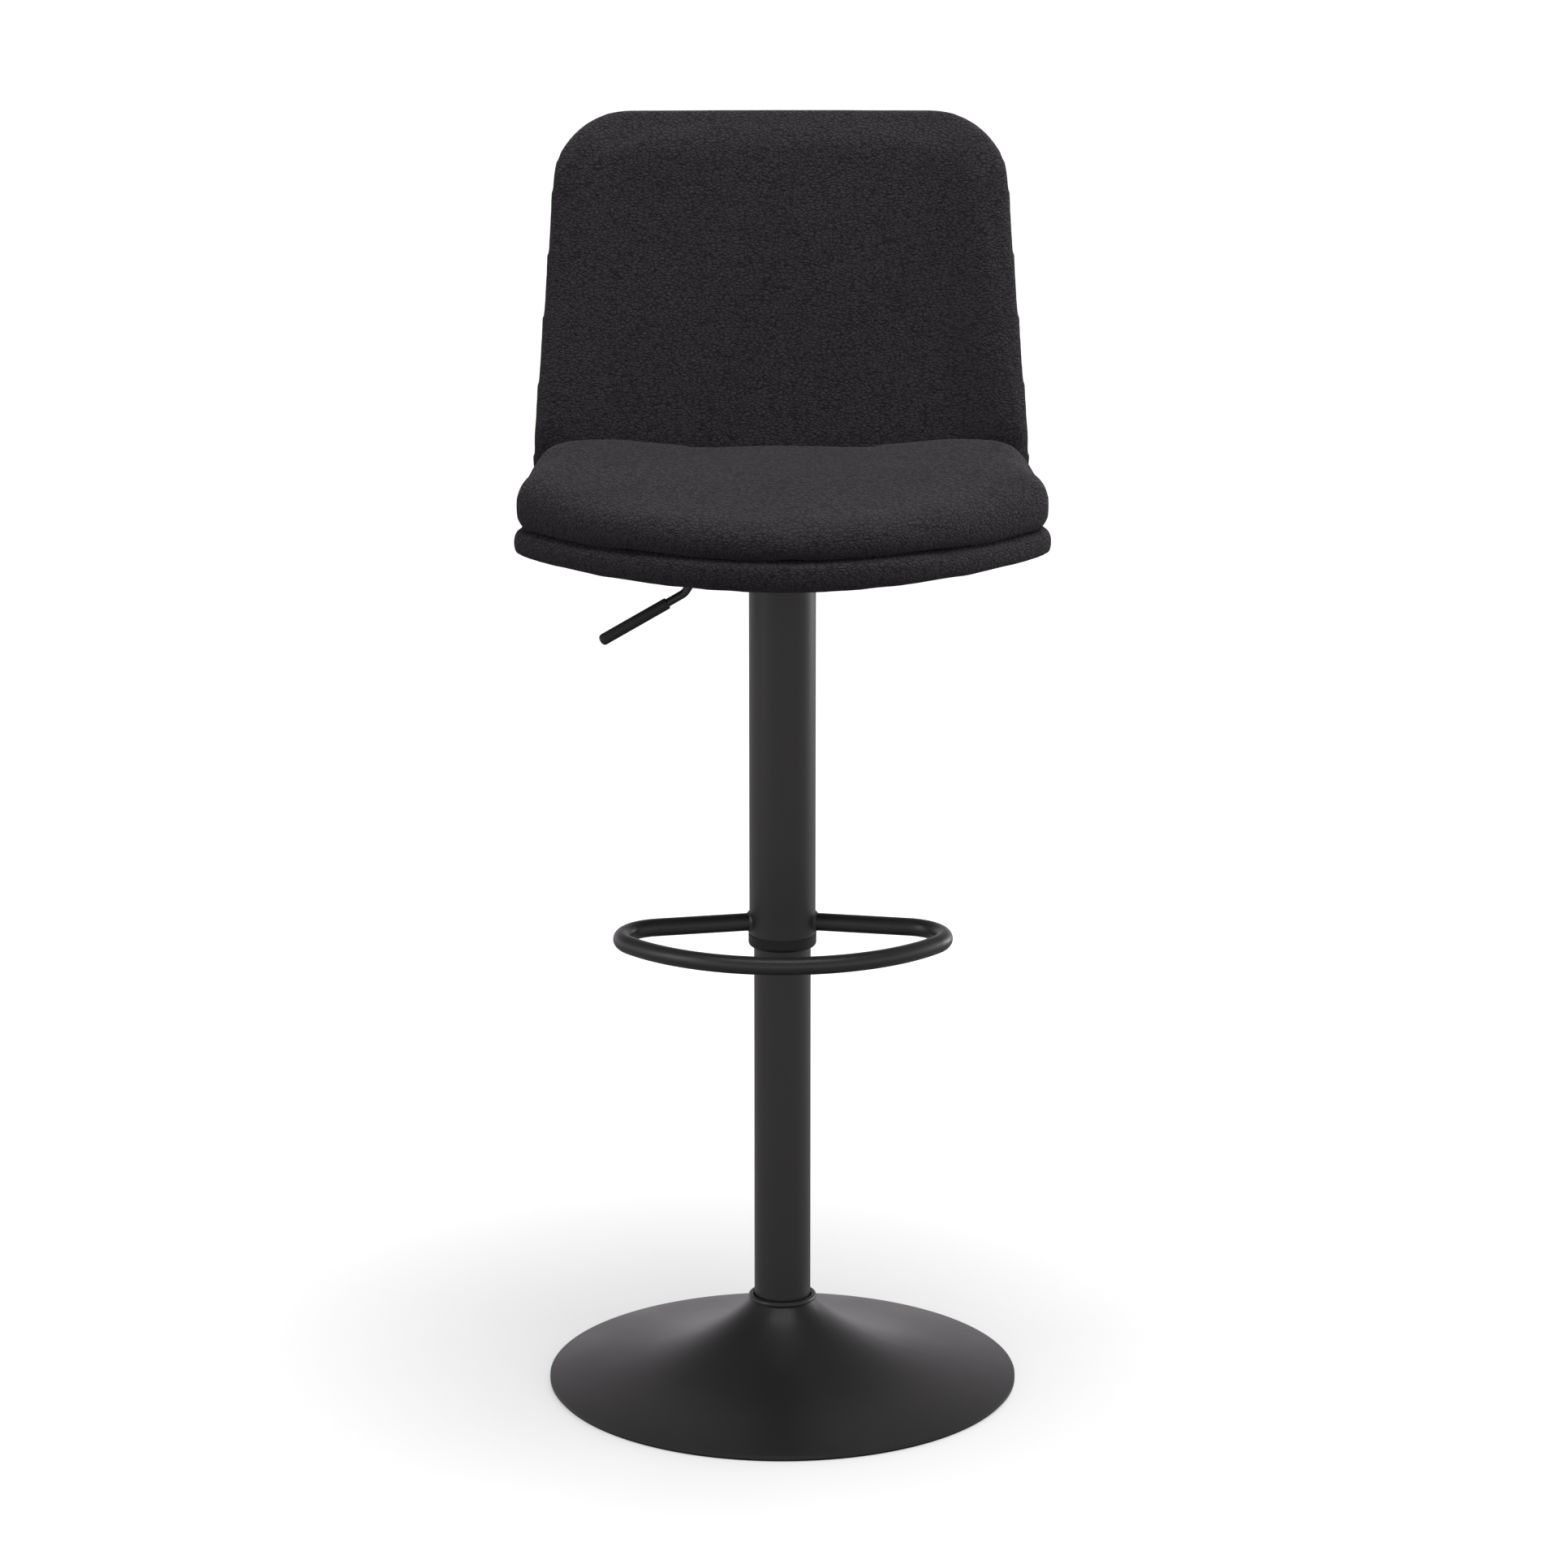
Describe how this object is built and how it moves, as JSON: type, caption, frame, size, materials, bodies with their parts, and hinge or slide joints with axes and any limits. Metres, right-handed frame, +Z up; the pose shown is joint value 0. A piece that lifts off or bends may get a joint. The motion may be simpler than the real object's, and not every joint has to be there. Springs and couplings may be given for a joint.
{
  "type": "bar stool with footrest",
  "caption": "Height-adjustable swivel bar stool: trumpet base, telescopic column with D-shaped foot ring and release lever, upholstered shell seat with backrest and loose cushion.",
  "frame": {"origin": "centre of the base on the floor", "axes": "+Z up, -Y the way the sitter faces, -X the side of the height lever; the seat is at the top of its travel"},
  "size_m": [0.4642, 0.4527, 1.1345],
  "materials": {
    "base_paint": "satin black powder coat",
    "column_paint": "satin black powder coat",
    "rubber": "matt black rubber",
    "plain_steel": "plain pressed steel",
    "zinc_steel": "zinc plated",
    "bright_steel": "ground steel",
    "cylinder_steel": "gloss black",
    "aluminium": "turned",
    "black_plastic": "moulded, fine grain",
    "grip_plastic": "moulded, matt",
    "plywood": "raw plywood",
    "dust_cloth": "non-woven cloth",
    "upholstery": "nubby woven fabric"
  },
  "bodies": {
    "base": {"base_shell": "base_paint", "base_collar": "column_paint", "floor_ring": "rubber", "bottom_plate": "plain_steel", "column_flange": "plain_steel", "flange_bolts": "zinc_steel", "flange_washers": "zinc_steel", "flange_nuts": "zinc_steel", "lower_column": "column_paint", "guide_bush": "black_plastic", "bearing_race_lower": "bright_steel"},
    "spindle": {"piston_rod": "bright_steel", "piston": "aluminium", "piston_seal": "rubber", "piston_nut": "zinc_steel", "thrust_balls": "bright_steel", "bearing_race_upper": "bright_steel", "rod_bumper": "rubber", "rod_clip": "zinc_steel"},
    "carriage": {"gas_cylinder": "cylinder_steel", "cylinder_gland": "black_plastic", "outer_sleeve": "column_paint", "sleeve_end_cap": "black_plastic", "sleeve_top_bush": "plain_steel", "foot_ring": "column_paint", "foot_ring_welds": "column_paint", "seat_plate": "column_paint", "taper_socket": "column_paint", "lever_bracket": "zinc_steel", "lever_pin": "zinc_steel", "seat_board": "plywood", "back_board": "plywood", "back_brackets": "plain_steel", "bracket_screws": "zinc_steel", "seat_bolts": "zinc_steel", "seat_washers": "zinc_steel", "tee_nuts": "zinc_steel", "dust_cover": "dust_cloth", "pan_pad": "upholstery", "back_pad": "upholstery", "seat_cushion": "upholstery"},
    "lever": {"lever_rod": "column_paint", "lever_grip": "grip_plastic"},
    "button": {"release_pin": "zinc_steel"}
  },
  "joints": [
    {"name": "swivel", "type": "hinge", "parent": "base", "child": "spindle", "pos_m": [0, 0, 0.02], "axis": [0, 0, 1], "continuous": true},
    {"name": "lift", "type": "slide", "parent": "spindle", "child": "carriage", "axis": [0, 0, 1], "range_m": [-0.205, 0]},
    {"name": "lever_tilt", "type": "hinge", "parent": "carriage", "child": "lever", "pos_m": [-0.03, 0, 0.7625], "axis": [0, 1, 0], "range_deg": [0, 5], "stiffness_Nm_per_rad": 10},
    {"name": "pin_press", "type": "slide", "parent": "carriage", "child": "button", "axis": [0, 0, -1], "range_m": [0, 0.003]}
  ],
  "couplings": [
    {"joint": "pin_press", "follows": "lever_tilt", "m_per_rad": 0.0305}
  ]
}
